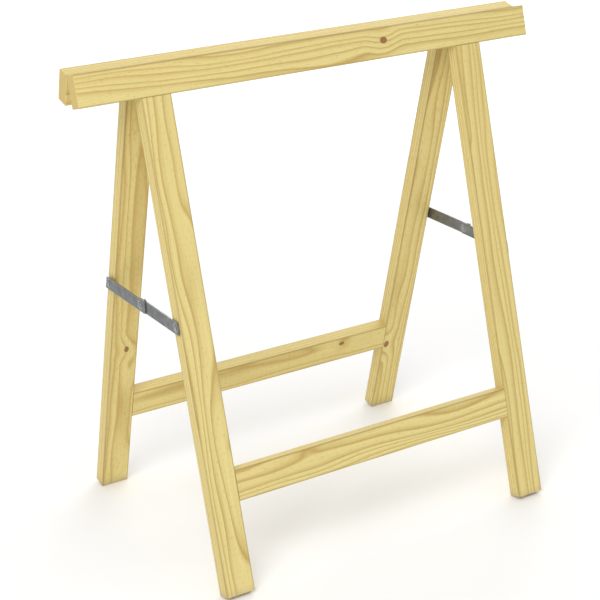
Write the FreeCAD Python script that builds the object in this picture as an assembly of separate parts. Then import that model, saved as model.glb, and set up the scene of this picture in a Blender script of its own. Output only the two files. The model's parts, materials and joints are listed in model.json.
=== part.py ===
import FreeCAD, Part
import math
import os
from FreeCAD import Vector

# Folding sawhorse. Two frames of planed batten are hinged along their top rails, and a
# folding steel stay at each end holds them open.
#
# Millimetres and degrees. X runs along the rails, the front frame is on the -Y side and Z is
# up. The origin is on the floor, midway between the four feet.
#
# A frame is first drawn upright, as it hangs when the sawhorse is folded: the hinge pin is on
# the X axis and the frame lies on the +Y side of the fold plane Y = 0. swung_out() then gives
# it its open angle.

# Battens and frames
batten_thick = 24.0
batten_wide = 48.0
arris = 1.5             # rounding worked along the open edges
rail_length = 800.0
frame_height = 800.0    # from the rail's top face to the foot, measured along the frame
leg_inset = 97.0        # from the rail's end to the leg's outer side
stretcher_lift = 140.0  # from the foot to the stretcher's lower edge
opening = 30.0          # angle between the two frames
rails_apart = 0.4       # between the rails' rounded top edges when open

# Dowels in the frame joints
dowel_radius = 4.0
dowel_length = 40.0
dowel_spacing = 24.0    # between the two dowels of a joint
dowel_chamfer = 1.0
dowel_play = 0.05
glue_room = 1.0         # left at each end of a dowel

# Butt hinges
hinge_from_end = 200.0  # from the rail's end to the hinge's middle
hinge_length = 60.0
knuckles = 5
knuckle_radius = 2.8
knuckle_sunk = 0.2      # below the rails' top faces
knuckle_gap = 0.3
knuckle_play = 0.35     # around a turning knuckle
leaf_wide = 21.0        # from the pin's axis to the leaf's free edge
leaf_thick = 1.5
leaf_proud = 0.2        # of the rail's inner face
leaf_corner = 1.0
recess_play = 0.2       # around the leaf in the wood
pin_radius = 1.3
pin_head_radius = 2.1
pin_head_thick = 1.0
running = 0.05          # radial play of a turning fit

# Countersunk screws of the hinges
leaf_screws = 3
leaf_screw_from_end = 10.0
leaf_screw_from_edge = 7.5
leaf_screw_stagger = 4.5
leaf_screw_length = 16.0
leaf_screw_radius = 1.7
leaf_screw_head = 3.2
leaf_screw_rim = 0.1    # flat edge of the head above its cone
leaf_screw_sunk = 0.05  # head below the leaf's face
leaf_screw_pitch = 1.2
sink_play = 0.2         # around the head at the leaf's face
pilot_play = 0.1        # around the thread
leaf_cross_wide = 0.8
leaf_cross_deep = 1.0

# Folding stays
stay_drop = 380.0       # from the hinge pin to the stay's pivots, measured along the frame
stay_wide = 20.0
stay_thick = 2.0
stay_end = 7.5          # from the pivot to the link's cut end, square to the leg
stay_corner = 2.0
layer_gap = 0.2         # between pieces that slide past each other
washer_thick = 1.2
washer_radius = 7.0
rivet_radius = 2.5
rivet_head_radius = 4.5
rivet_head_high = 2.2
tail_gap = 0.4          # between the rivet's flat end and the leg
tip_corner = 1.5
lug_from_tip = 1.8      # stop lug, from the outer link's tip
lug_long = 4.5
lug_thick = 2.0
lug_play = 0.3          # above the inner link's edge

# Pivot screws of the stays
pivot_radius = 2.5      # smooth shoulder that the link turns on
pivot_head_radius = 4.8
pivot_head_high = 2.4
pivot_rim = 0.6         # height of the head's upright edge
pivot_bite = 28.0       # length in the wood
pivot_thread = 2.4
pivot_pitch = 1.8
pivot_cross_wide = 1.1
pivot_cross_deep = 1.4

# Shape of every screw's thread and driver cross
core_share = 0.72       # core radius over thread radius
tip_share = 2.0         # length of the point over thread radius
root_starts = 0.35      # the groove's flat, in pitches from the ring's start
root_ends = 0.65
cross_share = 0.55      # half the cross's span over the head's radius

# Places that follow from the sizes above, on the upright frame
swing = math.radians(opening / 2)
pin_depth = knuckle_radius + knuckle_sunk
rail_top = pin_depth
rail_bottom = rail_top - batten_wide
foot = rail_top - frame_height
stretcher_bottom = foot + stretcher_lift
stretcher_top = stretcher_bottom + batten_wide
# The pin lies below the rails' tops, so their top edges swing towards each other. The inner
# faces stand this far off the fold plane to keep the rounded edges apart.
edge_swing = (pin_depth - arris) * math.sin(swing) + arris * (1 - math.cos(swing))
face_in = (rails_apart / 2 + edge_swing) / math.cos(swing)
face_out = face_in + batten_thick
mid = (face_in + face_out) / 2
leg_outer = rail_length / 2 - leg_inset
leg_inner = leg_outer - batten_wide
leg_mid = (leg_outer + leg_inner) / 2
hinge_x = rail_length / 2 - hinge_from_end
leaf_face = face_in - leaf_proud
leaf_back = leaf_face + leaf_thick
# A square-cut foot stands on its inner arris, which is a quarter round.
pin_height = arris - (foot + arris) * math.cos(swing) - (face_in + arris) * math.sin(swing)

# The stay's layers, measured outwards from the leg's outer side
inner_link = washer_thick + layer_gap
outer_link = inner_link + stay_thick + layer_gap
stack_end = outer_link + stay_thick
# The stay's pivots and edges on the open sawhorse
pivot_y = stay_drop * math.sin(swing) + mid * math.cos(swing)
pivot_z = pin_height - stay_drop * math.cos(swing) + mid * math.sin(swing)
half_wide = stay_wide / 2
lug_start = half_wide   # past the rivet, clear of the inner link's round end when folded
lug_end = lug_start + lug_long
outer_tip = lug_end + lug_from_tip
stay_top = pivot_z + half_wide
stay_low = pivot_z - half_wide

ORIGIN = Vector(0, 0, 0)
ALONG_X = Vector(1, 0, 0)
ALONG_Y = Vector(0, 1, 0)
ALONG_Z = Vector(0, 0, 1)
REAR, FRONT = 1, -1
LEFT, RIGHT = -1, 1
tiny = 1e-6
pieces = {}


# --- Helpers -----------------------------------------------------------------------------

def block(x, y, z):
    """A box from three (low, high) pairs."""
    return Part.makeBox(x[1] - x[0], y[1] - y[0], z[1] - z[0], Vector(x[0], y[0], z[0]))


def rod(radius, start, direction, length):
    """A cylinder from the point start."""
    return Part.makeCylinder(radius, length, start, direction)


def plate(outline, x, thick):
    """A plate across X. outline is a closed wire in the plane X = 0."""
    sheet = Part.Face(outline).extrude(Vector(thick, 0, 0))
    sheet.translate(Vector(x, 0, 0))
    return sheet


def turned(profile):
    """A solid of revolution about Z. profile is a closed loop of edges in the XZ plane."""
    return Part.Face(Part.Wire(profile)).revolve(ORIGIN, ALONG_Z, 360)


def lines(points):
    """Straight edges through (radius, height) points."""
    at = [Vector(r, 0, h) for r, h in points]
    return [Part.makeLine(a, b) for a, b in zip(at, at[1:])]


def aimed(shape, point, direction):
    """Turns a shape drawn along +Z to a direction, and carries its origin to a point."""
    shape.rotate(ORIGIN, ALONG_Z.cross(direction), 90)
    shape.translate(point)
    return shape


def swung_out(shape, side):
    """Carries an upright piece to its place on the open sawhorse, on its side of the fold."""
    if side == FRONT:
        shape = shape.mirror(ORIGIN, ALONG_Y)
    shape.rotate(ORIGIN, ALONG_X, side * opening / 2)
    shape.translate(Vector(0, 0, pin_height))
    return shape


def handed(shape, hand):
    """A piece drawn on the right-hand side, or its mirror image on the left."""
    return shape if hand == RIGHT else shape.mirror(ORIGIN, ALONG_X)


def eased(batten, rounded):
    """Rounds the batten's edges that rounded(edge) picks."""
    return batten.makeFillet(arris, [e for e in batten.Edges if rounded(e)])


def runs_along(edge, axis):
    """True if a straight edge is parallel to an axis."""
    return edge.tangentAt(edge.FirstParameter).cross(axis).Length < tiny


# --- Screws, drawn along +Z from the seat of the head, with the point at the far end ------

def screw_body(radius, thread_from, length, pitch):
    """Points of a screw's shank, thread and tip, as (radius, height)."""
    core = core_share * radius
    tip = tip_share * radius
    points = [(radius, thread_from)]
    rings = int((length - tip - thread_from) / pitch)
    for ring in range(rings):
        start = thread_from + ring * pitch
        points += [(core, start + root_starts * pitch), (core, start + root_ends * pitch),
                   (radius, start + pitch)]
    return points + [(core, length - tip), (0, length)]


def cross_recess(head_radius, wide, top, deep):
    """The driver's cross, cut from above the head down to a depth below its top."""
    reach = cross_share * head_radius
    height = (top - deep, top + deep)
    arm = block((-reach, reach), (-wide / 2, wide / 2), height)
    return arm.fuse(block((-wide / 2, wide / 2), (-reach, reach), height))


def dome_radius(reach, rise):
    """Radius of the ball whose cap has this base radius and this height."""
    return (reach ** 2 + rise ** 2) / (2 * rise)


def countersunk_screw():
    """Hinge screw. Its flat head face is at Z = 0."""
    neck = leaf_screw_rim + leaf_screw_head - leaf_screw_radius
    shank = screw_body(leaf_screw_radius, neck, leaf_screw_length, leaf_screw_pitch)
    points = [(0, 0), (leaf_screw_head, 0), (leaf_screw_head, leaf_screw_rim)] + shank
    screw = turned(lines(points + [(0, 0)]))
    return screw.cut(cross_recess(leaf_screw_head, leaf_cross_wide, 0, leaf_cross_deep))


def domed_screw(shoulder):
    """Pivot screw. The head's underside is at Z = 0, then a smooth shoulder, then thread."""
    top = -pivot_head_high
    ball = dome_radius(pivot_head_radius, pivot_head_high - pivot_rim)
    lean = math.asin(pivot_head_radius / ball) / 2
    halfway = Vector(ball * math.sin(lean), 0, top + ball * (1 - math.cos(lean)))
    edge = (pivot_head_radius, -pivot_rim)
    dome = Part.Arc(Vector(0, 0, top), halfway, Vector(edge[0], 0, edge[1])).toShape()
    under = [edge, (pivot_head_radius, 0), (pivot_radius, 0), (pivot_radius, shoulder)]
    shank = screw_body(pivot_thread, shoulder, shoulder + pivot_bite, pivot_pitch)
    screw = turned([dome] + lines(under + shank + [(0, top)]))
    return screw.cut(cross_recess(pivot_head_radius, pivot_cross_wide, top, pivot_cross_deep))


# --- Frames --------------------------------------------------------------------------------

def leg_dowel_places():
    """Middles of the upright dowels, where the legs meet the rail's underside."""
    return [Vector(hand * leg_mid + step * dowel_spacing / 2, mid, rail_bottom)
            for hand in (LEFT, RIGHT) for step in (-1, 1)]


def stretcher_dowel_places():
    """Middles of the level dowels, where the stretcher meets the legs' inner sides."""
    height = (stretcher_bottom + stretcher_top) / 2
    return [Vector(hand * leg_inner, mid, height + step * dowel_spacing / 2)
            for hand in (LEFT, RIGHT) for step in (-1, 1)]


def dowel(place, axis):
    """A round dowel with chamfered ends, centred on a joint."""
    pin = rod(dowel_radius, place - axis * (dowel_length / 2), axis, dowel_length)
    rims = [e for e in pin.Edges if not runs_along(e, axis)]
    return pin.makeChamfer(dowel_chamfer, rims)


def bored(batten, places, axis):
    """Cuts the dowel holes out of a batten."""
    depth = dowel_length / 2 + glue_room
    for place in places:
        hole = rod(dowel_radius + dowel_play, place - axis * depth, axis, 2 * depth)
        batten = batten.cut(hole)
    return batten


def top_rail():
    """Rail, let in for the hinge leaves and bored for the dowels and screws."""
    rail = block((-rail_length / 2, rail_length / 2), (face_in, face_out),
                 (rail_bottom, rail_top))
    rail = bored(eased(rail, lambda edge: True), leg_dowel_places(), ALONG_Z)
    reach = hinge_length / 2 + recess_play
    relief = reach + pin_head_thick
    for hand in (LEFT, RIGHT):
        middle = hand * hinge_x
        rail = rail.cut(block((middle - reach, middle + reach), (0, leaf_back),
                              (-leaf_wide - recess_play, 0)))
        rail = rail.cut(rod(knuckle_radius + knuckle_play, Vector(middle - relief, 0, 0),
                            ALONG_X, 2 * relief))
        for place in leaf_screw_places(middle):
            rail = rail.cut(screw_hole(place))
    return rail


def leg(hand):
    """Leg with a square-cut foot, bored for its dowels and for the stay's pivot screw."""
    sides = sorted((hand * leg_inner, hand * leg_outer))
    post = block(sides, (face_in, face_out), (foot, rail_bottom))
    post = eased(post, lambda edge: runs_along(edge, ALONG_Z)
                 or edge.CenterOfMass.z < foot + arris)
    post = bored(post, leg_dowel_places(), ALONG_Z)
    post = bored(post, stretcher_dowel_places(), ALONG_X)
    mouth = Vector(hand * leg_outer, mid, -stay_drop)
    return post.cut(rod(pivot_thread + running, mouth, ALONG_X * -hand,
                        pivot_bite + glue_room))


def stretcher():
    """Stretcher between the two legs, bored for its dowels."""
    bar = block((-leg_inner, leg_inner), (face_in, face_out),
                (stretcher_bottom, stretcher_top))
    bar = eased(bar, lambda edge: runs_along(edge, ALONG_X))
    return bored(bar, stretcher_dowel_places(), ALONG_X)


def make_frame(side, name):
    """The wooden pieces of one frame."""
    pieces[name + "_top_rail"] = swung_out(top_rail(), side)
    pieces[name + "_left_leg"] = swung_out(leg(LEFT), side)
    pieces[name + "_right_leg"] = swung_out(leg(RIGHT), side)
    pieces[name + "_stretcher"] = swung_out(stretcher(), side)
    for group, places, axis in (("_leg_dowels", leg_dowel_places(), ALONG_Z),
                                ("_stretcher_dowels", stretcher_dowel_places(), ALONG_X)):
        dowels = Part.makeCompound([dowel(place, axis) for place in places])
        pieces[name + group] = swung_out(dowels, side)


# --- Hinges --------------------------------------------------------------------------------

def leaf_screw_places(middle):
    """Where the screws enter a leaf's face, staggered along it."""
    span = hinge_length - 2 * leaf_screw_from_end
    places = []
    for number in range(leaf_screws):
        across = leaf_wide - leaf_screw_from_edge - leaf_screw_stagger * (number % 2)
        along = middle - span / 2 + span * number / (leaf_screws - 1)
        places.append(Vector(along, leaf_face, -across))
    return places


def screw_hole(place):
    """Countersunk hole for a hinge screw, through the leaf and on into the wood."""
    mouth = leaf_screw_head + sink_play
    bore = leaf_screw_radius + pilot_play
    sink = Part.makeCone(mouth, bore, mouth - bore, place, ALONG_Y)
    return sink.fuse(rod(bore, place, ALONG_Y, leaf_screw_length + glue_room))


def hinge_leaf(middle, first):
    """A leaf with every second knuckle, starting with the knuckle numbered first."""
    low = middle - hinge_length / 2
    leaf = block((low, low + hinge_length), (leaf_face, leaf_back), (-leaf_wide, 0))
    corners = [e for e in leaf.Edges
               if runs_along(e, ALONG_Y) and e.CenterOfMass.z < -leaf_wide / 2]
    leaf = leaf.makeFillet(leaf_corner, corners)
    pitch = hinge_length / knuckles
    for number in range(knuckles):
        start = low + number * pitch
        if number % 2 == first:
            begin = start + (knuckle_gap / 2 if number > 0 else 0)
            end = start + pitch - (knuckle_gap / 2 if number < knuckles - 1 else 0)
            leaf = leaf.fuse(rod(knuckle_radius, Vector(begin, 0, 0), ALONG_X, end - begin))
    for number in range(knuckles):
        start = low + number * pitch
        if number % 2 != first:
            leaf = leaf.cut(rod(knuckle_radius + knuckle_play, Vector(start, 0, 0),
                                ALONG_X, pitch))
    leaf = leaf.cut(rod(pin_radius + running, Vector(low, 0, 0), ALONG_X, hinge_length))
    for place in leaf_screw_places(middle):
        leaf = leaf.cut(screw_hole(place))
    return leaf.removeSplitter()


def hinge_pin(middle):
    """Pin with a low head at each end."""
    half = hinge_length / 2
    pin = rod(pin_radius, Vector(middle - half, 0, 0), ALONG_X, hinge_length)
    for start in (middle - half - pin_head_thick, middle + half):
        pin = pin.fuse(rod(pin_head_radius, Vector(start, 0, 0), ALONG_X, pin_head_thick))
    return pin.removeSplitter()


def make_hinge(hand, name):
    """Both leaves, the pin and the screws of one hinge."""
    middle = hand * hinge_x
    pieces[name + "_hinge_rear_leaf"] = swung_out(hinge_leaf(middle, 0), REAR)
    pieces[name + "_hinge_front_leaf"] = swung_out(hinge_leaf(middle, 1), FRONT)
    pieces[name + "_hinge_pin"] = swung_out(hinge_pin(middle), REAR)
    sunk = ALONG_Y * leaf_screw_sunk
    for side, frame in ((REAR, "rear"), (FRONT, "front")):
        screws = [aimed(countersunk_screw(), place + sunk, ALONG_Y)
                  for place in leaf_screw_places(middle)]
        group = Part.makeCompound(screws)
        pieces[name + "_hinge_" + frame + "_screws"] = swung_out(group, side)


# --- Folding stays, drawn on the right-hand side -------------------------------------------

def cut_end(side, height):
    """Y of a link's outer end at a height above the pivots. The end runs with the leg."""
    return side * (pivot_y + (stay_end - height * math.sin(swing)) / math.cos(swing))


def outline_of(side, inner_y):
    """Corners of a link. inner_y is where its straight edges end, near the rivet."""
    return [Vector(0, inner_y, stay_low), Vector(0, cut_end(side, -half_wide), stay_low),
            Vector(0, cut_end(side, half_wide), stay_top), Vector(0, inner_y, stay_top)]


def drilled(link, side):
    """Makes the two holes of a link, and rounds the corners of its outer end."""
    corners = [e for e in link.Edges
               if runs_along(e, ALONG_X) and side * e.CenterOfMass.y > pivot_y]
    link = link.makeFillet(stay_corner, corners)
    far = 2 * stack_end
    for y, radius in ((side * pivot_y, pivot_radius), (0, rivet_radius)):
        hole = rod(radius + running, Vector(leg_outer, y, pivot_z), ALONG_X, far)
        link = link.cut(hole)
    return link


def inner_stay_link(side):
    """Link next to the leg. Its rivet end is a half round, so that it turns under the lug."""
    corners = outline_of(side, 0)
    edges = [Part.makeLine(a, b) for a, b in zip(corners, corners[1:])]
    far_point = Vector(0, -side * half_wide, pivot_z)
    edges.append(Part.Arc(corners[-1], far_point, corners[0]).toShape())
    link = plate(Part.Wire(edges), leg_outer + inner_link, stay_thick)
    return drilled(link, side)


def outer_stay_link(side):
    """Outer link. The lug past its rivet lies on the inner link's top edge and stops it."""
    corners = outline_of(side, -side * outer_tip)
    outline = Part.makePolygon(corners + corners[:1])
    link = plate(outline, leg_outer + outer_link, stay_thick)
    tips = [e for e in link.Edges if runs_along(e, ALONG_X) and side * e.CenterOfMass.y < 0]
    link = link.makeFillet(tip_corner, tips)
    across = sorted((-side * lug_start, -side * lug_end))
    underside = stay_top + lug_play
    upright = block((leg_outer + outer_link, leg_outer + stack_end), across,
                    (stay_top - lug_thick, underside))
    tongue = block((leg_outer + inner_link, leg_outer + stack_end), across,
                   (underside, underside + lug_thick))
    return drilled(link.fuse([upright, tongue]).removeSplitter(), side)


def rivet_tail():
    """Flattened end of the centre rivet, with the shank that fills the inner link."""
    tail_thick = inner_link - tail_gap
    start = Vector(leg_outer + tail_gap, 0, pivot_z)
    tail = rod(rivet_head_radius, start, ALONG_X, tail_thick)
    return tail.fuse(rod(rivet_radius, start, ALONG_X, tail_thick + stay_thick))


def rivet_head():
    """Domed end of the centre rivet, with the shank that fills the outer link."""
    ball = dome_radius(rivet_head_radius, rivet_head_high)
    seat = Vector(leg_outer + stack_end, 0, pivot_z)
    dome = Part.makeSphere(ball, seat + ALONG_X * (rivet_head_high - ball))
    dome = dome.common(rod(rivet_head_radius, seat, ALONG_X, rivet_head_high))
    return dome.fuse(rod(rivet_radius, seat - ALONG_X * stay_thick, ALONG_X, stay_thick))


def make_stay(hand, name):
    """The links, rivet, pivot screws, washer and spacer of one stay."""
    pieces[name + "_rear_link"] = handed(outer_stay_link(REAR), hand)
    pieces[name + "_front_link"] = handed(inner_stay_link(FRONT), hand)
    pieces[name + "_rivet_tail"] = handed(rivet_tail(), hand)
    pieces[name + "_rivet_head"] = handed(rivet_head(), hand)
    mouth = Vector(leg_outer, mid, -stay_drop)
    for side, frame, ring, link_at in ((FRONT, "_front", "_washer", inner_link),
                                       (REAR, "_rear", "_spacer", outer_link)):
        thick = link_at - layer_gap
        sleeve = rod(washer_radius, mouth, ALONG_X, thick)
        sleeve = sleeve.cut(rod(pivot_radius + running, mouth, ALONG_X, thick))
        pieces[name + frame + ring] = swung_out(handed(sleeve, hand), side)
        seat = link_at + stay_thick + layer_gap
        screw = aimed(domed_screw(seat), mouth + ALONG_X * seat, -ALONG_X)
        pieces[name + frame + "_pivot_screw"] = swung_out(handed(screw, hand), side)


make_frame(REAR, "rear")
make_frame(FRONT, "front")
for hand, name in ((LEFT, "left"), (RIGHT, "right")):
    make_hinge(hand, name)
    make_stay(hand, name)

os.makedirs("parts", exist_ok=True)
for name, shape in pieces.items():
    shape.exportStep(os.path.join("parts", name + ".step"))
    solids = len(shape.Solids)
    print(f"{name:26s} {solids} solid{'s' if solids > 1 else ' '} {shape.Volume:12.1f} mm3")
print(f"pin height {pin_height:.4f}, stay pivots at Y +-{pivot_y:.4f}, Z {pivot_z:.4f}")
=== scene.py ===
# %% [markdown]
# # A folding sawhorse of planed spruce batten
# The solids come from the CAD frame: battens, dowels, hinges and folding stays, each at its
# real place in metres. This file sets the camera, gives every piece the finish of its real
# material, and makes again those small parts whose real shape has more to it than a solid.

# %% Load the frame
import json
import math

import bmesh
import bpy
import numpy as np
from mathutils import Matrix, Quaternion, Vector

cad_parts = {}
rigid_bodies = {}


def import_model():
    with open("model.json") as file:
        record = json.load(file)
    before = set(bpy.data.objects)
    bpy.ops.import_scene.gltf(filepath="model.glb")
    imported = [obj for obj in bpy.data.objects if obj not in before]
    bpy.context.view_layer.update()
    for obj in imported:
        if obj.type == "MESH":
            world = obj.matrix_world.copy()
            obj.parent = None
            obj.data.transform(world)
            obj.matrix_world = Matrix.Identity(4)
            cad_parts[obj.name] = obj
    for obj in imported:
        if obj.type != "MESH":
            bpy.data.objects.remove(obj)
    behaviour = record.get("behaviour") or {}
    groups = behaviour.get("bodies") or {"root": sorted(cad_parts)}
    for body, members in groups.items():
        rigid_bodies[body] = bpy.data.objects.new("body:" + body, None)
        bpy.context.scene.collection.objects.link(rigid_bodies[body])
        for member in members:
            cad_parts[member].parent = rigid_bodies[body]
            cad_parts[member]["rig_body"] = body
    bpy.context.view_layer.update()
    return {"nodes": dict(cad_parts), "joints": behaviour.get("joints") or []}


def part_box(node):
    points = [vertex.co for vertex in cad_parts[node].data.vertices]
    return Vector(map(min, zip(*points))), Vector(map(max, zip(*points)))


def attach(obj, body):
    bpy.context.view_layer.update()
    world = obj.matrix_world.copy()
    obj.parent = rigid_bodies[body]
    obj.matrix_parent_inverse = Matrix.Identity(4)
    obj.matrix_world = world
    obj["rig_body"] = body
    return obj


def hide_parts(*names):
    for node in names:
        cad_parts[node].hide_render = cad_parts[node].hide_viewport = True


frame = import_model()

nodes = frame["nodes"]
scene = bpy.context.scene

# %% [markdown]
# ## The frame's own directions
# Each half of the sawhorse is a flat frame that leans 15 degrees. Two unit vectors describe
# it: the way down the legs, and the way out of its outer face. Wood grain, screws and hinge
# leaves all follow them, so they are worked out once, from the fold joint's own record.

# %% Directions of the two leaning frames
MM = 0.001
REAR, FRONT = 1, -1
FRAMES = {"rear": REAR, "front": FRONT}
HANDS = {"left": -1, "right": 1}
ALONG = Vector((1, 0, 0))
joints = {joint["name"]: joint for joint in frame["joints"]}
fold_axis = Vector(joints["fold"]["pos_m"])
lean = math.radians(joints["fold"]["range_deg"][1]) / 2


def down(side):
    """Unit vector down the legs of the rear (+1) or front (-1) frame."""
    return Vector((0, side * math.sin(lean), -math.cos(lean)))


def outward(side):
    """Unit vector out of the outer face of the rear (+1) or front (-1) frame."""
    return Vector((0, side * math.cos(lean), math.sin(lean)))


def middle(node):
    """Centre of a CAD node's box."""
    low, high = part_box(node)
    return (low + high) / 2


print("each frame leans", round(math.degrees(lean), 2), "degrees")

# %% [markdown]
# ## Camera
# A long lens from far off keeps the rails nearly parallel. The camera looks from the front
# and left, 22 degrees above the floor, and it is set by its three axes, because a very
# slight roll belongs to the view.

# %% Camera
LENS = 94.87                 # millimetres
SENSOR = 36.0                # millimetres
STANDPOINT = Vector((-1.2613, -2.0235, 1.2954))
RIGHT_AXIS = Vector((0.84885, -0.52827, -0.01993))
UP_AXIS = Vector((0.21162, 0.30500, 0.92854))

camera_data = bpy.data.cameras.new("long_lens")
camera_data.lens = LENS
camera_data.sensor_width = SENSOR
camera = bpy.data.objects.new("long_lens", camera_data)
scene.collection.objects.link(camera)
back_axis = RIGHT_AXIS.cross(UP_AXIS).normalized()
up_axis = back_axis.cross(RIGHT_AXIS).normalized()
turn = Matrix((RIGHT_AXIS.normalized(), up_axis, back_axis)).transposed()
camera.matrix_world = Matrix.Translation(STANDPOINT) @ turn.to_4x4()
scene.camera = camera
print("camera", round((STANDPOINT - middle("front_top_rail")).length, 2), "m from the rail")

# %% [markdown]
# ## Light and floor
# A bare studio: a pale floor that fills the view, an even pale sky, and one large soft lamp
# from the upper left that is only a little stronger than the rest. Even light keeps each
# face close to its own colour, and the lamp gives just enough shade to tell faces apart. A
# lamp behind keeps the far floor as pale as the near floor.

# %% Sky
SKY = 0.72
scene.world = bpy.data.worlds.new("pale_sky")
scene.world.use_nodes = True
background = scene.world.node_tree.nodes["Background"]
background.inputs["Color"].default_value = (1, 1, 1, 1)
background.inputs["Strength"].default_value = SKY
scene.view_settings.view_transform = "Standard"
print("sky strength", SKY)


# %% Lamps
def soft_lamp(name, place, aim, size, power):
    """A square area lamp at a place, turned to face a point."""
    data = bpy.data.lights.new(name, "AREA")
    data.shape = "SQUARE"
    data.size = size
    data.energy = power
    lamp = bpy.data.objects.new(name, data)
    lamp.location = place
    lamp.rotation_euler = (Vector(aim) - Vector(place)).to_track_quat("-Z", "Y").to_euler()
    scene.collection.objects.link(lamp)
    print(f"{name}: {size} m square, {power} W")


HALF_WAY_UP = (0, 0, 0.4)
soft_lamp("key_lamp", place=(-2.6, -2.2, 3.4), aim=HALF_WAY_UP, size=2.4, power=84)
soft_lamp("far_lamp", place=(2.8, 1.6, 2.6), aim=HALF_WAY_UP, size=2.4, power=30)
soft_lamp("back_lamp", place=(3.6, 5.6, 3.6), aim=(3.4, 5.4, 0), size=3.6, power=150)

# %% Floor
REACH = 30.0                 # metres from the middle to each side
floor_mesh = bpy.data.meshes.new("floor")
floor_mesh.from_pydata([(-REACH, -REACH, 0), (REACH, -REACH, 0), (REACH, REACH, 0),
                        (-REACH, REACH, 0)], [], [(0, 1, 2, 3)])
floor = bpy.data.objects.new("floor", floor_mesh)
scene.collection.objects.link(floor)
print("floor", 2 * REACH, "m square")

# %% [markdown]
# ## How a finish is put together
# A finish is a small tree of shader nodes. One helper adds a node with its settings and its
# links, and one turns the hex colours that painters use into the linear values that light
# needs. Patterns read Object coordinates, which are metres here, so a pattern's scale is
# one over its real size in metres.


# %% Colours
def linear(hex_colour, alpha=1.0):
    """sRGB hex to linear: c / 12.92 below 0.04045, else ((c + 0.055) / 1.055) to the 2.4."""
    value = np.array([int(hex_colour[i:i + 2], 16) for i in (1, 3, 5)]) / 255
    value = np.where(value <= 0.04045, value / 12.92, ((value + 0.055) / 1.055) ** 2.4)
    return (*value.tolist(), alpha)


print("middle grey gives back", round(linear("#808080")[0], 3), "of the light")


# %% Nodes
def add(tree, kind, sockets=None, links=None, **settings):
    """Adds a shader node with its settings, its fixed inputs and its linked inputs."""
    node = tree.nodes.new("ShaderNode" + kind)
    for name, value in settings.items():
        setattr(node, name, value)
    for socket, value in (sockets or {}).items():
        node.inputs[socket].default_value = value
    for socket, source in (links or {}).items():
        tree.links.new(source, node.inputs[socket])
    return node.outputs


def new_finish(name):
    """An empty material with its node tree and its Principled shader."""
    material = bpy.data.materials.new(name)
    material.use_nodes = True
    tree = material.node_tree
    return material, tree, tree.nodes["Principled BSDF"]


print("node and finish helpers ready")

# %% [markdown]
# ## Matt paint on the floor
# A studio floor is rolled with matt emulsion, which scatters light evenly and has almost no
# shine. One flat value would do, but rolled paint is never quite even, so slow noise moves
# its tone by a hundredth over about three quarters of a metre.

# %% Matt floor paint
PALE = 0.93                  # the share of light that the paint gives back
UNEVEN = 0.01
painted, tree, shader = new_finish("matt studio floor")
mottle = add(tree, "TexNoise", {"Scale": 1.3, "Detail": 3.0},
             {"Vector": add(tree, "TexCoord")["Object"]})
shade = add(tree, "Mix", {6: (PALE - UNEVEN,) * 3 + (1,), 7: (PALE + UNEVEN,) * 3 + (1,)},
            {0: mottle["Fac"]}, data_type="RGBA")
tree.links.new(shade[2], shader.inputs["Base Color"])
shader.inputs["Roughness"].default_value = 0.9
shader.inputs["Specular IOR Level"].default_value = 0.1
floor_mesh.materials.append(painted)
print(painted.name, "ready with", len(tree.nodes), "nodes")

# %% [markdown]
# ## Planed spruce
# Wood is a solid material, so its figure is worked out in space and not painted on: a log is
# a set of nested tubes, one a year, and a batten is a cut through them. The shader measures
# the distance from the pith, which lies outside the batten, lets slow noise bend the tubes,
# and turns the distance into rings: pale early wood that darkens to a thin band of late wood
# and stops sharply. Faces, edges and end grain then agree with each other without any work.
# A branch runs out from the pith, so a knot is a rod through the same space, and the rings
# swell round it. The planer leaves a silky face, the late wood a hair proud, and end grain
# drinks light, which makes it darker.

# %% Sizes and colours of the wood
RING = 4.6 * MM          # year rings are nearer 2.5 mm, drawn wider so that they show
RING_BEND = 22 * MM      # how far slow noise bends a ring
FIBRE = 1.3 * MM         # fibres are 0.04 mm, bundled here into streaks that show
FINE_FIBRE = 0.35 * MM   # the planer lifts some of them, which shows from close by
KNOT_RING = 1.7 * MM
ARRIS_BAND = (3.0 * MM, 0.4 * MM)      # grime from hands and painted edge shade darken an arris from here to here, off the edge
HALF_THICK = 12 * MM
HALF_WIDE = 24 * MM
SPRUCE_EARLY = "#E3D38C"
SPRUCE_LATE = "#BB9C50"
SPRUCE_WARM = "#D6BC73"
SPRUCE_END = "#C4A55E"
# The arris colour is partly grime from handling and partly painted shade that marks each edge.
SPRUCE_GRIME_AND_EDGE_SHADE = "#A3864A"
SPRUCE_RESIN = "#9C7434"
FLOOR_DUST = "#A79A80"
KNOT_HEART = "#A67A42"
KNOT_RIM = "#7E5527"
print("rings", RING / MM, "mm apart on a face", round(2 * HALF_WIDE / MM), "mm wide")


# %% A batten's own space
def own_space(tree, centre, grain, thick):
    """The texture coordinates, and a place in a batten's own directions: X along its grain,
    Y through its thickness and Z across its width, in metres from its middle."""
    facing = Matrix((grain, thick, grain.cross(thick))).transposed().to_euler()
    spot = add(tree, "TexCoord")
    own = add(tree, "Mapping", {"Location": centre, "Rotation": facing},
              {"Vector": spot["Object"]}, vector_type="TEXTURE")["Vector"]
    return spot, own


def slow_noise(tree, own):
    """Where to read noise for drifts some 400 mm long and 80 mm across: place * stretch."""
    return add(tree, "VectorMath", {1: (2.6, 13.0, 13.0)}, {0: own},
               operation="MULTIPLY")["Vector"]


print("a batten's own X runs", tuple(round(part, 3) for part in down(FRONT)), "on a front leg")


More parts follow.
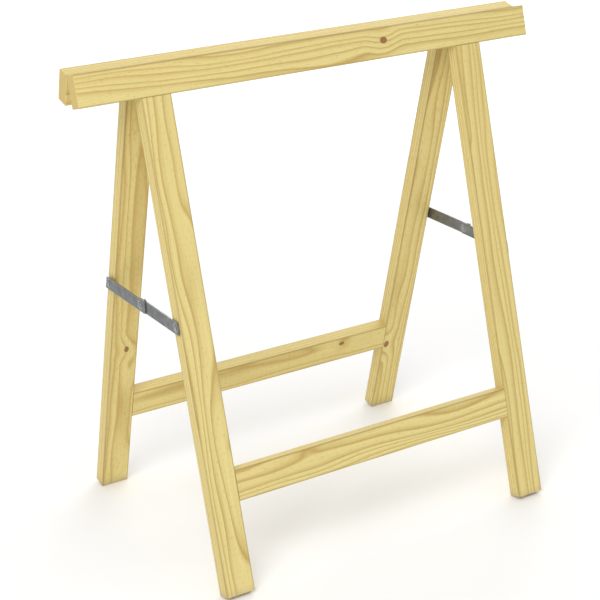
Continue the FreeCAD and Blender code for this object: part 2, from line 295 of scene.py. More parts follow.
# %% The log, and a branch in it
def from_pith(tree, own, slow, pith):
    """Distance from the log's centre: the length of (0, y, z) + bend * noise - pith."""
    drift = add(tree, "TexNoise", {"Scale": 1.0, "Detail": 2.0, "Roughness": 0.45},
                {"Vector": slow})["Color"]
    drift = add(tree, "VectorMath", {1: (0.5, 0.5, 0.5)}, {0: drift}, operation="SUBTRACT")[0]
    log = add(tree, "VectorMath", {1: (0, RING_BEND, RING_BEND)}, {0: drift, 2: own},
              operation="MULTIPLY_ADD")["Vector"]
    log = add(tree, "VectorMath", {1: (0, pith[0] * MM, pith[1] * MM)}, {0: log},
              operation="SUBTRACT")["Vector"]
    log = add(tree, "VectorMath", {1: (0, 1, 1)}, {0: log}, operation="MULTIPLY")["Vector"]
    return add(tree, "VectorMath", links={0: log}, operation="LENGTH")["Value"]


def from_branch(tree, own, pith, knot):
    """Distance from a branch's middle line: the length of (place - root) x direction. Along
    the grain it counts for less, so a knot is longer that way."""
    along, angle, _ = knot
    direction = Vector((0, math.cos(math.radians(angle)), math.sin(math.radians(angle))))
    root = (along * MM, pith[0] * MM, pith[1] * MM)
    branch = add(tree, "VectorMath", {1: root}, {0: own}, operation="SUBTRACT")["Vector"]
    branch = add(tree, "VectorMath", {1: direction}, {0: branch}, operation="CROSS_PRODUCT")[0]
    branch = add(tree, "VectorMath", {1: (1, 0.7, 0.7)}, {0: branch}, operation="MULTIPLY")[0]
    return add(tree, "VectorMath", links={0: branch}, operation="LENGTH")["Value"]


def swollen(tree, distance, off_knot, radius):
    """Rings bulge round a knot: distance + a share of the knot's radius that fades out over
    seven radii."""
    swell = add(tree, "MapRange", {"From Min": radius * 7 * MM, "From Max": radius * 0.2 * MM,
                                   "To Max": radius * 0.8 * MM},
                {"Value": off_knot}, interpolation_type="SMOOTHERSTEP")["Result"]
    return add(tree, "Math", links={0: distance, 1: swell}, operation="ADD")[0]


print("noise bends the rings by up to", round(RING_BEND / 2 / RING, 1), "rings")

# %% Year rings
RING_TONES = ((0.0, 0.2), (0.06, 0.0), (0.5, 0.1), (0.78, 0.5), (0.9, 1.0))


def late_wood(tree, distance):
    """0 in early wood and 1 in late wood: a sawtooth of distance / ring + noise of distance,
    through a ramp that is slow to darken and quick to stop."""
    rings = add(tree, "Math", {1: 1 / RING}, {0: distance}, operation="MULTIPLY")[0]
    uneven = add(tree, "TexNoise", {"Scale": 90.0, "Detail": 1.0}, {"W": distance},
                 noise_dimensions="1D")["Fac"]
    rings = add(tree, "Math", {1: 1.6}, {0: uneven, 2: rings}, operation="MULTIPLY_ADD")[0]
    year = add(tree, "Math", links={0: rings}, operation="FRACT")[0]
    late = add(tree, "ValToRGB", links={"Fac": year})["Color"]
    ramp = late.node.color_ramp
    for place, level in RING_TONES:
        stop = ramp.elements.new(place)
        stop.color = (level, level, level, 1)
    ramp.elements.remove(ramp.elements[0])
    ramp.elements[-1].color = (0.2, 0.2, 0.2, 1)
    return late


print("late wood is darkest", RING_TONES[-1][0], "of the way through its year")


# %% Fibres and clear wood
def long_fibres(tree, own):
    """Streaks along the grain: noise at a fibre bundle's width + half of finer noise."""
    streaks = add(tree, "VectorMath", {1: (7.0, 1 / FIBRE, 1 / FIBRE)}, {0: own},
                  operation="MULTIPLY")["Vector"]
    fibre = add(tree, "TexNoise", {"Scale": 1.0, "Detail": 3.0, "Roughness": 0.6},
                {"Vector": streaks})["Fac"]
    threads = add(tree, "VectorMath", {1: (28.0, 1 / FINE_FIBRE, 1 / FINE_FIBRE)}, {0: own},
                  operation="MULTIPLY")["Vector"]
    fine = add(tree, "TexNoise", {"Scale": 1.0, "Detail": 2.0}, {"Vector": threads})["Fac"]
    return add(tree, "Math", {1: 0.5}, {0: fine, 2: fibre}, operation="MULTIPLY_ADD")[0]


def clear_wood(tree, late, cloud, fibres, depth):
    """Early to late colour by the rings, towards a warmer one in slow clouds and on a
    deep-toned batten, all lighter or darker by a few percent from fibre to fibre."""
    figure = add(tree, "Mix", {6: linear(SPRUCE_EARLY), 7: linear(SPRUCE_LATE)},
                 {0: late}, data_type="RGBA")[2]
    warmth = add(tree, "MapRange", {"From Min": 0.35, "From Max": 0.7, "To Min": depth * 0.35,
                                    "To Max": 0.25 + depth * 0.5}, {"Value": cloud})["Result"]
    figure = add(tree, "Mix", {7: linear(SPRUCE_WARM)}, {0: warmth, 6: figure},
                 data_type="RGBA")[2]
    grainy = add(tree, "MapRange", {"From Min": 0.5, "From Max": 1.0, "To Min": 0.92,
                                    "To Max": 1.06}, {"Value": fibres})["Result"]
    return add(tree, "VectorMath", links={0: figure, "Scale": grainy}, operation="SCALE")[0]


print("about", round(2 * HALF_WIDE / FIBRE), "fibre bundles across a face")


# %% Resin canals and end grain
def with_resin(tree, own, figure):
    """Resin canals show as short brown dashes, some 9 mm long and half a millimetre wide:
    the peaks of noise that is stretched along the grain."""
    dashes = add(tree, "VectorMath", {1: (110, 1900, 1900)}, {0: own}, operation="MULTIPLY")[0]
    canals = add(tree, "TexNoise", {"Scale": 1.0, "Detail": 0.0}, {"Vector": dashes})["Fac"]
    canals = add(tree, "MapRange", {"From Min": 0.70, "From Max": 0.76, "To Max": 0.5},
                 {"Value": canals})["Result"]
    return add(tree, "Mix", {7: linear(SPRUCE_RESIN)}, {0: canals, 6: figure},
               data_type="RGBA")[2]


def with_end_grain(tree, normal, grain, figure):
    """Darker where the surface faces along the grain: by the size of normal . grain."""
    end_on = add(tree, "VectorMath", {1: grain}, {0: normal}, operation="DOT_PRODUCT")[1]
    end_on = add(tree, "Math", links={0: end_on}, operation="ABSOLUTE")[0]
    end_on = add(tree, "MapRange", {"From Min": 0.55, "From Max": 0.95, "To Max": 0.55},
                 {"Value": end_on})["Result"]
    return add(tree, "Mix", {7: linear(SPRUCE_END)}, {0: end_on, 6: figure},
               data_type="RGBA")[2]


print("end grain", SPRUCE_END, "against a face of", SPRUCE_EARLY)


# %% Arrises darkened by hands and by painted shade
def near_arris(tree, own):
    """1 at a long edge and 0 away from it: how near the side faces * how near the broad."""
    apart = add(tree, "SeparateXYZ", links={0: own})
    near = []
    for part, half in (("Y", HALF_THICK), ("Z", HALF_WIDE)):
        size = add(tree, "Math", links={0: apart[part]}, operation="ABSOLUTE")[0]
        near.append(add(tree, "MapRange", {"From Min": half - ARRIS_BAND[0], "From Max": half - ARRIS_BAND[1]},
                        {"Value": size})["Result"])
    return add(tree, "Math", links={0: near[0], 1: near[1]}, operation="MULTIPLY")[0]


def with_grime_and_edge_shade(tree, arris, cloud, figure):
    """Grime and polish along the arrises, more in some stretches than in others, with painted shade
    that marks each edge.
    """
    grime_and_edge_shade = add(tree, "MapRange", {"From Min": 0.3, "From Max": 0.7, "To Min": 0.6,
                                     "To Max": 0.95}, {"Value": cloud})["Result"]
    grime_and_edge_shade = add(tree, "Math", links={0: arris, 1: grime_and_edge_shade}, operation="MULTIPLY")[0]
    # The darker arris is partly grime from handling and partly painted shade along every edge.
    return add(tree, "Mix", {7: linear(SPRUCE_GRIME_AND_EDGE_SHADE)}, {0: grime_and_edge_shade, 6: figure},
               data_type="RGBA")[2]


print("arrises are worn over", round(ARRIS_BAND[0] / MM, 1), "mm")


# %% Knots and dusty feet
def with_knot(tree, off_knot, radius, figure):
    """Inside the knot's radius, its own rings: a sawtooth of the distance from its middle."""
    inside = add(tree, "MapRange", {"From Min": radius * 1.12 * MM, "From Max": radius * 0.92 * MM},
                 {"Value": off_knot}, interpolation_type="SMOOTHSTEP")["Result"]
    rings = add(tree, "Math", {1: 1 / KNOT_RING}, {0: off_knot}, operation="MULTIPLY")[0]
    rings = add(tree, "Math", links={0: rings}, operation="FRACT")[0]
    knot_wood = add(tree, "Mix", {6: linear(KNOT_HEART), 7: linear(KNOT_RIM)}, {0: rings},
                    data_type="RGBA")[2]
    return add(tree, "Mix", links={0: inside, 6: figure, 7: knot_wood}, data_type="RGBA")[2]


def with_dust(tree, height, fibres, figure):
    """What stands on the floor picks up dust, which climbs higher in the open fibres: it
    fades out at a height of 30 mm * fibres - 6 mm."""
    climb = add(tree, "Math", {1: 0.03, 2: -0.006}, {0: fibres}, operation="MULTIPLY_ADD")[0]
    dusty = add(tree, "MapRange", {"From Min": 0.0, "To Min": 0.5, "To Max": 0.0},
                {"Value": height, "From Max": climb})["Result"]
    return add(tree, "Mix", {7: linear(FLOOR_DUST)}, {0: dusty, 6: figure}, data_type="RGBA")[2]


print("a knot's own rings are", KNOT_RING / MM, "mm apart")

# %% The planed surface
PLANED_ROUGH = 0.64


def planed(tree, shader, late, fibres, arris):
    """Relief = fibres + half the late wood. Roughness = that of a clean face, less 0.12 at an
    arris, which hands polish, and 0.10 in late wood, which the planer burnishes."""
    relief = add(tree, "Math", {1: 0.5}, {0: late, 2: fibres}, operation="MULTIPLY_ADD")[0]
    normal = add(tree, "Bump", {"Strength": 0.8, "Distance": 0.12 * MM}, {"Height": relief})[0]
    tree.links.new(normal, shader.inputs["Normal"])
    gloss = add(tree, "Math", {1: -0.12, 2: PLANED_ROUGH}, {0: arris}, operation="MULTIPLY_ADD")[0]
    gloss = add(tree, "Math", {1: -0.10}, {0: late, 2: gloss}, operation="MULTIPLY_ADD")[0]
    tree.links.new(gloss, shader.inputs["Roughness"])
    shader.inputs["IOR"].default_value = 1.5


print("a clean planed face has roughness", PLANED_ROUGH)


# %% The whole finish
def planed_spruce(name, centre, grain, thick, pith, knot, depth):
    """A batten's wood. grain and thick are its long and its thin directions, pith is where
    the log's centre lies in (thin, wide) millimetres from the batten's middle, knot is
    (distance along, turn in degrees, radius) in millimetres, depth is its tone from 0 to 1."""
    material, tree, shader = new_finish(name)
    spot, own = own_space(tree, centre, grain, thick)
    slow = slow_noise(tree, own)
    off_knot = from_branch(tree, own, pith, knot)
    late = late_wood(tree, swollen(tree, from_pith(tree, own, slow, pith), off_knot, knot[2]))
    fibres = long_fibres(tree, own)
    cloud = add(tree, "TexNoise", {"Scale": 0.7, "Detail": 2.0}, {"Vector": slow})["Fac"]
    arris = near_arris(tree, own)
    height = add(tree, "SeparateXYZ", links={0: spot["Object"]})["Z"]

    figure = clear_wood(tree, late, cloud, fibres, depth)
    figure = with_resin(tree, own, figure)
    figure = with_end_grain(tree, spot["Normal"], grain, figure)
    figure = with_grime_and_edge_shade(tree, arris, cloud, figure)
    figure = with_knot(tree, off_knot, knot[2], figure)
    figure = with_dust(tree, height, fibres, figure)
    tree.links.new(figure, shader.inputs["Base Color"])
    planed(tree, shader, late, fibres, arris)
    return material


# %% Eight battens, each from its own place in a log
SAWN = {                 # frame, run, pith, knot and depth, as planed_spruce explains them
    "front_top_rail": (FRONT, "rail", (-46, 30), (120, 150, 4.5), 0.25),
    "front_left_leg": (FRONT, "leg", (-52, -20), (150, 170, 4.0), 0.15),
    "front_right_leg": (FRONT, "leg", (-60, 34), (-210, 190, 5.0), 0.45),
    "front_stretcher": (FRONT, "rail", (-38, -30), (-130, 175, 4.5), 0.10),
    "rear_top_rail": (REAR, "rail", (-70, 12), (-180, 180, 5.0), 0.40),
    "rear_left_leg": (REAR, "leg", (66, 18), (90, 10, 4.0), 0.30),
    "rear_right_leg": (REAR, "leg", (58, -26), (230, -8, 5.0), 0.20),
    "rear_stretcher": (REAR, "rail", (74, 20), (160, 5, 4.0), 0.35),
}
for node, (side, run, pith, knot, depth) in SAWN.items():
    grain = ALONG if run == "rail" else down(side)
    wood = planed_spruce("planed spruce, " + node.replace("_", " "), middle(node), grain,
                         outward(side), pith, knot, depth)
    nodes[node].material_slots[0].material = wood
    print(f"{wood.name}: {len(wood.node_tree.nodes)} nodes")

# %% [markdown]
# ## Zinc-plated steel
# The stays, hinges and screws are mild steel with a thin coat of bright zinc. The coat is a
# cool mid grey with a faint cloudy bloom, fine drawing lines from the rolling mill run along
# strip and wire, and the coat is polished thin where parts turn on each other: in a ring
# round each pivot, and along the edges that fingers and legs rub. Bloom and lines are noise
# at two scales, and each rubbed place is a distance that fades, so all of it stays with the
# metal as the stay folds.

# %% Where the coat is rubbed
ZINC_RUBBED = "#B4B5B5"
RUBBED_RING = (9.0 * MM, 5.5 * MM)      # the wear round a pivot fades between these radii
RUBBED_EDGE = 1.1 * MM


def rubbed_places(tree, spot, pivots, edge):
    """Shares from 0 to 1: by the distance from each pivot in the (y, z) plane, and by the
    height off a strip's middle line."""
    shares = []
    for y, z in pivots:
        off = add(tree, "VectorMath", {1: (0, y, z)}, {0: spot}, operation="SUBTRACT")[0]
        off = add(tree, "VectorMath", {1: (0, 1, 1)}, {0: off}, operation="MULTIPLY")[0]
        off = add(tree, "VectorMath", links={0: off}, operation="LENGTH")["Value"]
        shares.append(add(tree, "MapRange", {"From Min": RUBBED_RING[0],
                                             "From Max": RUBBED_RING[1]},
                          {"Value": off}, interpolation_type="SMOOTHSTEP")["Result"])
    if edge:
        line, half_wide = edge
        height = add(tree, "SeparateXYZ", links={0: spot})["Z"]
        level = add(tree, "Math", {1: line}, {0: height}, operation="SUBTRACT")[0]
        level = add(tree, "Math", links={0: level}, operation="ABSOLUTE")[0]
        shares.append(add(tree, "MapRange", {"From Min": half_wide - RUBBED_EDGE,
                                             "From Max": half_wide},
                          {"Value": level})["Result"])
    return shares


print("a strip's edges are rubbed over", round(RUBBED_EDGE / MM, 1), "mm")


# %% Zinc-plated steel
def zinc_plated(name, tone, bloom, line_run, roughness, pivots=(), edge=None):
    """Plated steel. tone and bloom are its two greys. line_run is one over the drawing
    lines' size in metres along X, Y and Z. pivots are the (y, z) places it turns about, and
    edge is the height of a strip's middle line with half its width."""
    material, tree, shader = new_finish(name)
    spot = add(tree, "TexCoord")["Object"]
    clouds = add(tree, "TexNoise", {"Scale": 70.0, "Detail": 3.0, "Roughness": 0.6},
                 {"Vector": spot})["Fac"]
    clouds = add(tree, "MapRange", {"From Min": 0.35, "From Max": 0.68}, {"Value": clouds})[0]
    drawn = add(tree, "VectorMath", {1: line_run}, {0: spot}, operation="MULTIPLY")[0]
    lines = add(tree, "TexNoise", {"Scale": 1.0, "Detail": 2.0}, {"Vector": drawn})["Fac"]
    coat = add(tree, "Mix", {6: linear(tone), 7: linear(bloom)}, {0: clouds},
               data_type="RGBA")[2]
    streak = add(tree, "MapRange", {"From Min": 0.3, "From Max": 0.7, "To Min": 0.9,
                                    "To Max": 1.08}, {"Value": lines})["Result"]
    coat = add(tree, "VectorMath", links={0: coat, "Scale": streak}, operation="SCALE")[0]
    satin = add(tree, "MapRange", {"To Min": roughness - 0.06, "To Max": roughness + 0.1},
                {"Value": clouds})["Result"]
    for place in rubbed_places(tree, spot, pivots, edge):
        share = add(tree, "Math", links={0: place, 1: lines}, operation="MULTIPLY")[0]
        coat = add(tree, "Mix", {7: linear(ZINC_RUBBED)}, {0: share, 6: coat},
                   data_type="RGBA")[2]
        satin = add(tree, "Math", {1: -0.2}, {0: share, 2: satin}, operation="MULTIPLY_ADD")[0]
    tree.links.new(coat, shader.inputs["Base Color"])
    tree.links.new(satin, shader.inputs["Roughness"])
    normal = add(tree, "Bump", {"Strength": 0.5, "Distance": 0.03 * MM}, {"Height": lines})[0]
    tree.links.new(normal, shader.inputs["Normal"])
    shader.inputs["Metallic"].default_value = 1.0
    return material


# %% One finish for each kind of steel part
ALONG_Y_LINES = (900, 40, 900)      # lines about 1 mm apart and 25 mm long
ALONG_X_LINES = (40, 900, 900)
NO_LINES = (600, 600, 600)          # turned and stamped parts show specks and no lines
leaf_steel = zinc_plated("rolled hinge steel, zinc plated", "#B2B3B3", "#9C9D9F",
                         ALONG_X_LINES, 0.46)
screw_steel = zinc_plated("screw steel, bright zinc plated", "#B0B1B2", "#9A9B9E", NO_LINES, 0.3)
rivet_steel = zinc_plated("hammered rivet steel, zinc plated", "#9FA0A1", "#86878A", NO_LINES,
                          0.38)
washer_steel = zinc_plated("stamped washer steel, zinc plated", "#A6A7A8", "#909194", NO_LINES,
                           0.34)
for steel in (leaf_steel, screw_steel, rivet_steel, washer_steel):
    print(f"{steel.name}: {len(steel.node_tree.nodes)} nodes")

# %% [markdown]
# ## Turned beech
# The dowels that hold the frames are beech rod, rolled between fluted dies. Beech is pinker
# and denser than spruce, has no clear rings at this size, and is peppered along the grain
# with short brown rays, which are what tells it from other woods. So it needs no log: noise
# that is stretched along the rod gives its fibres, and the peaks of finer noise its rays.

# %% Turned beech
BEECH_PALE = "#CFA67C"
BEECH_DEEP = "#B98B62"
BEECH_RAY = "#96683F"


def turned_beech(name, grain, thick):
    """Beech rod. grain is the rod's direction and thick any direction across it."""
    material, tree, shader = new_finish(name)
    own = own_space(tree, (0, 0, 0), grain, thick)[1]
    runs = add(tree, "VectorMath", {1: (60, 900, 900)}, {0: own}, operation="MULTIPLY")[0]
    fibre = add(tree, "TexNoise", {"Scale": 1.0, "Detail": 3.0}, {"Vector": runs})["Fac"]
    tone = add(tree, "Mix", {6: linear(BEECH_PALE), 7: linear(BEECH_DEEP)}, {0: fibre},
               data_type="RGBA")[2]
    dashes = add(tree, "VectorMath", {1: (500, 2400, 2400)}, {0: own}, operation="MULTIPLY")[0]
    rays = add(tree, "TexNoise", {"Scale": 1.0, "Detail": 0.0}, {"Vector": dashes})["Fac"]
    rays = add(tree, "MapRange", {"From Min": 0.62, "From Max": 0.7, "To Max": 0.8},
               {"Value": rays})["Result"]
    tone = add(tree, "Mix", {7: linear(BEECH_RAY)}, {0: rays, 6: tone}, data_type="RGBA")[2]
    tree.links.new(tone, shader.inputs["Base Color"])
    normal = add(tree, "Bump", {"Strength": 0.6, "Distance": 0.08 * MM}, {"Height": fibre})[0]
    tree.links.new(normal, shader.inputs["Normal"])
    dry = add(tree, "MapRange", {"To Min": 0.5, "To Max": 0.66}, {"Value": fibre})["Result"]
    tree.links.new(dry, shader.inputs["Roughness"])
    shader.inputs["IOR"].default_value = 1.5
    return material


beech = {}
for frame_name, side in FRAMES.items():
    for joint, grain in (("leg", down(side)), ("stretcher", ALONG)):
        beech[joint, side] = turned_beech(f"turned beech, {frame_name} {joint} dowels", grain,
                                          outward(side))
print(len(beech), "beech finishes, one for each way that a dowel runs")

# %% [markdown]
# ## From grids of points to pieces
# The small parts are made as sheets of points: the rows run along the part and the columns
# run round it. A row whose points all fall together is a pole, and a sheet that comes back
# to its first row is a ring. Joining each point to its neighbours gives a skin, merging the
# points that agree closes its seams, and its own volume tells whether it faces outwards.


# %% Sheets of points
def turned(profile, columns):
    """A row of points for each (radius, height) pair: the pair carried in a circle round Z."""
    radius, height = np.asarray(profile, float).T
    angle = np.linspace(0, 2 * np.pi, columns, endpoint=False)
    return np.stack([np.outer(radius, np.cos(angle)), np.outer(radius, np.sin(angle)),
                     np.repeat(height[:, None], columns, axis=1)], axis=-1)


def placed(sheet, seat, axis, turn=0.0):
    """Carries a sheet in millimetres to a seat in metres: its Z runs along the axis, and it
    is turned about the axis by an angle. A point is seat + x across + y beside + z axis."""
    across = axis.orthogonal().normalized()
    across.rotate(Quaternion(axis, turn))
    basis = np.array([across, axis.cross(across), axis])
    return sheet * MM @ basis + np.array(seat)


print("a turned sheet of 3 rows and 8 columns:", turned([(1, 0), (2, 1), (1, 2)], 8).shape)

# %% Closed skins
SHARP = math.radians(38)          # edges that turn more than this are shaded sharp
FLAT = math.radians(0.5)          # neighbours that turn less than this are one flat face


def closed(mesh, join_flat=False):
    """Merges a mesh's doubles, joins its flat faces if asked, and turns it to face outwards."""
    work = bmesh.new()
    work.from_mesh(mesh)
    bmesh.ops.remove_doubles(work, verts=work.verts, dist=0.0005 * MM)
    if join_flat:
        bmesh.ops.dissolve_limit(work, angle_limit=FLAT, verts=work.verts, edges=work.edges)
    bmesh.ops.recalc_face_normals(work, faces=work.faces)
    if work.calc_volume(signed=True) < 0:
        bmesh.ops.reverse_faces(work, faces=work.faces)
    work.to_mesh(mesh)
    open_edges = sum(not edge.is_manifold for edge in work.edges)
    work.free()
    if "custom_normal" in mesh.attributes:
        mesh.attributes.remove(mesh.attributes["custom_normal"])
    mesh.shade_smooth()
    mesh.set_sharp_from_angle(angle=SHARP)
    print(f"{mesh.name:36s}{len(mesh.polygons):6d} faces, {open_edges} open edges")
    return mesh


def skin(name, sheets):
    """One closed mesh from sheets of points, each joined round its columns."""
    corners, quads, start = [], [], 0
    for sheet in sheets:
        rows, columns = sheet.shape[:2]
        index = start + np.arange(rows * columns).reshape(rows, columns)
        beside = np.roll(index, -1, axis=1)
        ring = np.stack([index[:-1], beside[:-1], beside[1:], index[1:]], axis=-1)
        corners.append(sheet.reshape(-1, 3))
        quads.append(ring.reshape(-1, 4))
        start += rows * columns
    mesh = bpy.data.meshes.new(name)
    mesh.from_pydata(np.concatenate(corners), [], np.concatenate(quads))
    return closed(mesh)


# %% [markdown]
# ## A piece in place of a solid
# Each small part is seen in place of its CAD solid, which stays for the collisions. It rides
# on the same body, so it folds with it, and it takes the solid's place from the frame: most
# of these parts start from the outermost point of their solid, on their own end of the
# sawhorse.


# %% Pieces in their places
def stands_for(node, name, mesh, finish):
    """Adds a mesh as the piece that is seen in place of a CAD node, on the node's body."""
    mesh.materials.clear()
    mesh.materials.append(finish)
    piece = bpy.data.objects.new(name, mesh)
    scene.collection.objects.link(piece)
    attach(piece, nodes[node]["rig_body"])
    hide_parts(node)
    return piece


def outer_end(node, hand):
    """The middle of a CAD node's box, at its outermost X on its own end of the sawhorse."""
    low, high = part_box(node)
    return Vector(((high if hand > 0 else low).x, (low.y + high.y) / 2, (low.z + high.z) / 2))


stay_reach = outer_end("right_rivet_head", HANDS["right"]).x
print("the right stay stands out to", round(stay_reach / MM, 1), "mm from the middle")

# %% [markdown]
# ## Screws
# A wood screw is one surface of turning: a head, a smooth shoulder, a thread and a point.
# The thread is a ridge that climbs as it goes round, so its radius depends on height and on
# angle together: the phase is height over pitch less the angle in turns. The driver's cross
# is sunk into the head by a height that depends on the distance to the nearer arm. Every
# screw ends its last turn at its own angle, so the crosses point every way.

# %% The driver's cross
CROSS_SHARE = 0.55       # half the cross's span over the head's radius
FLOOR_RISE = 0.45        # the share of its depth that the cross loses towards its ends


def cross_depth(sheet, wide, reach, deep, soft):
    """Depth of the driver's cross at each point: the distance outside the nearer arm is the
    smaller of two, each the larger of its overshoots in x and y. The floor rises towards the
    arms' ends, and the walls lean over a soft width."""
    x, y = np.abs(sheet[..., 0]), np.abs(sheet[..., 1])
    outside = np.minimum(np.maximum(x - wide / 2, y - reach), np.maximum(y - wide / 2, x - reach))
    wall = np.clip(0.5 - outside / soft, 0, 1)
    floor_rise = 1 - FLOOR_RISE * np.clip(np.hypot(x, y) / reach, 0, 1)
    return deep * floor_rise * wall * wall * (3 - 2 * wall)


print("a cross spans", CROSS_SHARE, "of its head")

# %% The thread
CORE_SHARE = 0.72        # core radius over thread radius
ROWS_A_TURN = 8
CREST_FOOT = 0.3         # where the ridge starts, on a scale from mid groove to mid ridge
CREST_RISE = 0.55        # and how far on it reaches its full height


def thread(radius, start, end, pitch, columns):
    """Thread rows: radius = envelope * (core + (1 - core) * crest). The crest is a sharp
    ridge of the phase height / pitch - turn, and the envelope closes to the point."""
    rows = int((end - start) / pitch * ROWS_A_TURN)
    height = np.linspace(start, end, rows)[:, None]
    turn = np.linspace(0, 1, columns, endpoint=False)[None, :]
    phase = (height / pitch - turn) % 1
    crest = np.clip((np.abs(2 * phase - 1) - CREST_FOOT) / CREST_RISE, 0, 1)
    crest = crest * np.clip((height - start) / pitch, 0, 1)
    envelope = radius * np.clip((end - height) / (2 * radius), 0, 1)
    around = envelope * (CORE_SHARE + (1 - CORE_SHARE) * crest)
    angle = 2 * np.pi * turn
    return np.stack([around * np.cos(angle), around * np.sin(angle),
                     np.broadcast_to(height, around.shape)], axis=-1)


print("a thread has", ROWS_A_TURN, "rows of points a turn")

# %% Pivot screws of the stays
PIVOT_HEAD = 4.8         # radii and heights in millimetres
PIVOT_HIGH = 2.4
PIVOT_RIM = 0.6          # the head's upright edge
PIVOT_SHOULDER = 2.5     # the smooth part that a link turns on
PIVOT_THREAD = 2.4
PIVOT_PITCH = 1.8
PIVOT_BITE = 28.0        # length in the wood
PIVOT_CROSS = (1.1, 1.4)         # an arm's width, and depth
CROSS_ENDS = 3.1         # rows of points lie closer together inside this radius


def domed_screw(shoulder_end):
    """Pivot screw: the head's crown is an arc of a ball from the pole to a short upright rim,
    and below its seat at height 0 come the shoulder that the link turns on and the thread."""
    columns, head, shoulder = 96, PIVOT_HEAD, PIVOT_SHOULDER
    dome = PIVOT_HIGH - PIVOT_RIM
    ball = (head ** 2 + dome ** 2) / (2 * dome)
    out = np.concatenate([np.linspace(0, CROSS_ENDS, 27),
                          np.linspace(CROSS_ENDS + 0.2, head - 0.06, 8)])
    crown = turned(np.stack([out, ball - PIVOT_HIGH - np.sqrt(ball ** 2 - out ** 2)], axis=1),
                   columns)
    wide, deep = PIVOT_CROSS
    crown[..., 2] += cross_depth(crown, wide, CROSS_SHARE * head, deep, 0.3)
    body = turned([(head, -PIVOT_RIM + 0.06), (head, -0.1), (head - 0.1, 0), (shoulder, 0),
                   (shoulder, shoulder_end - 0.1), (shoulder - 0.1, shoulder_end)], columns)
    bite = thread(PIVOT_THREAD, shoulder_end, shoulder_end + PIVOT_BITE, PIVOT_PITCH, columns)
    return np.concatenate([crown, body, bite])


rng = np.random.default_rng(24)
for hand_name, hand in HANDS.items():
    for frame_name in FRAMES:
        node = hand_name + "_" + frame_name + "_pivot_screw"
        seat = outer_end(node, hand) - ALONG * hand * PIVOT_HIGH * MM
        leg_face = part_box(frame_name + "_" + hand_name + "_leg")[1 if hand > 0 else 0].x
        sheet = domed_screw(abs(seat.x - leg_face) / MM)
        mesh = skin(hand_name + "_" + frame_name + "_domed_screw",
                    [placed(sheet, seat, -ALONG * hand, rng.uniform(0, math.pi / 2))])
        stands_for(node, mesh.name, mesh, screw_steel)

# %% Hinge screws
HINGE_HEAD = 3.2         # radii and heights in millimetres
HINGE_RIM = 0.1
HINGE_SHANK = 1.7
HINGE_SCREW_LONG = 16.0
HINGE_PITCH = 1.2
HINGE_CROSS = (0.8, 1.0)         # an arm's width, and depth


def countersunk_screw():
    """Hinge screw: a flat head at height 0 with a thin rim, a cone under it, then the thread."""
    columns, head, rim, shank = 64, HINGE_HEAD, HINGE_RIM, HINGE_SHANK
    flat = turned([(r, 0) for r in np.linspace(0, head - 0.08, 18)], columns)
    wide, deep = HINGE_CROSS
    flat[..., 2] += cross_depth(flat, wide, CROSS_SHARE * head, deep, 0.25)
    neck = rim + head - shank
    body = turned([(head, 0.05), (head, rim), (shank, neck), (shank, neck + 0.2)], columns)
    bite = thread(shank, neck + 0.2, HINGE_SCREW_LONG, HINGE_PITCH, columns)
    return np.concatenate([flat, body, bite])


print("a hinge screw has", countersunk_screw().shape[0], "rows of points")

# %% Three hinge screws in each leaf
LEAF_FACE = 0.4619 * MM        # the leaf's face off the fold plane
SCREW_SUNK = 0.05 * MM
SCREW_STEP = 20 * MM
ACROSS = (13.5, 9.0, 13.5)     # below the pin, staggered so that the wood doesn't split
for hand_name in HANDS:
    for frame_name, side in FRAMES.items():
        node = hand_name + "_hinge_" + frame_name + "_screws"
        centre = fold_axis + ALONG * middle(node).x + outward(side) * (LEAF_FACE + SCREW_SUNK)
        sheets = [placed(countersunk_screw(), centre + ALONG * step * SCREW_STEP
                         + down(side) * across * MM, outward(side), rng.uniform(0, math.pi / 2))
                  for step, across in zip((-1, 0, 1), ACROSS)]
        mesh = skin(hand_name + "_" + frame_name + "_countersunk_screws", sheets)
        stands_for(node, mesh.name, mesh, screw_steel)

# %% [markdown]
# ## Rivets
# A rivet is a turned shape too. The factory forms its dome in a die, and the other end is
# hammered flat over the link, so its edge is uneven: its radius carries a few slow waves. It
# is made in two halves, because the dome turns with one link and the flat end with the other.

# %% Rivets
RIVET_HEAD = 4.5         # radii and heights in millimetres
RIVET_SHANK = 2.5
ROLLED_EDGE = 0.25       # the dome's edge stands this high off the link
DOME_HIGH = 1.95         # and the dome this high above it
SET_END = 1.0            # thickness of the hammered end
LINK_THICK = 2.0


def rivet_dome():
    """A low dome with a rolled edge on a shank: heights run out from the link's face. The
    dome is (head * sin a, edge + high * cos a)."""
    head, shank = RIVET_HEAD, RIVET_SHANK
    a = np.linspace(0, 1.45, 14)
    crown = np.stack([head * np.sin(a), ROLLED_EDGE + DOME_HIGH * np.cos(a)], axis=1)
    stem = [(head, 0.22), (head - 0.08, 0.05), (head - 0.2, 0), (shank, 0),
            (shank, 0.1 - LINK_THICK), (shank - 0.1, -LINK_THICK), (0, -LINK_THICK)]
    return turned(np.concatenate([crown, stem]), 64)


def hammered_end():
    """The set end: a nearly flat disc whose rim wanders, on a shank. The disc's radius is
    scaled by 1 - 2.5 percent of (1 + a wave of three turns)."""
    shank, top = RIVET_SHANK, SET_END + LINK_THICK
    sheet = turned([(0, 0), (1.2, 0.02), (2.4, 0.03), (3.4, 0.06), (4.1, 0.16), (4.4, 0.4),
                    (4.45, 0.7), (4.3, SET_END), (shank, SET_END), (shank, top - 0.1),
                    (shank - 0.1, top), (0, top)], 64)
    angle = np.arctan2(sheet[..., 1], sheet[..., 0])
    wander = 1 - 0.025 * (1 + np.cos(3 * angle + 0.7)) * (np.hypot(*sheet.T[:2]).T > 3)
    sheet[..., :2] *= wander[..., None]
    return sheet


